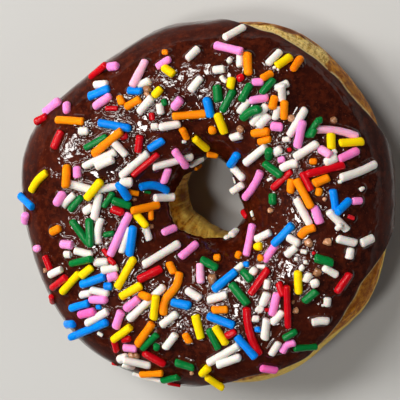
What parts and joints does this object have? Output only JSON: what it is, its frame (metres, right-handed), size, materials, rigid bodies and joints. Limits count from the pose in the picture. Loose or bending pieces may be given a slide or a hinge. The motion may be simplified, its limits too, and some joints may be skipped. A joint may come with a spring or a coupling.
{
  "type": "sprinkle frosted doughnut",
  "caption": "Ring doughnut of raised dough with a small off-centre hole, its top and most of its side coated in glossy chocolate icing.",
  "frame": {"origin": "on the surface it rests on, under the middle of the whole", "axes": "+Z up; seen from above +X is to the right and +Y is up, as in the picture"},
  "size_m": [0.0884, 0.0868, 0.0309],
  "materials": {
    "dough": "fried yeast dough: golden brown crust, a pale porous band round the waist, slightly greasy",
    "icing": "set dark chocolate icing, glossy, faintly mottled",
    "sprinkle_white": "white sugar sprinkles, waxy",
    "sprinkle_pink": "pink sugar sprinkles, waxy",
    "sprinkle_yellow": "yellow sugar sprinkles, waxy",
    "sprinkle_orange": "orange sugar sprinkles, waxy",
    "sprinkle_red": "red sugar sprinkles, waxy",
    "sprinkle_green": "green sugar sprinkles, waxy",
    "sprinkle_blue": "blue sugar sprinkles, waxy"
  },
  "bodies": {
    "root": {"dough": "dough", "icing": "icing"}
  },
  "joints": []
}
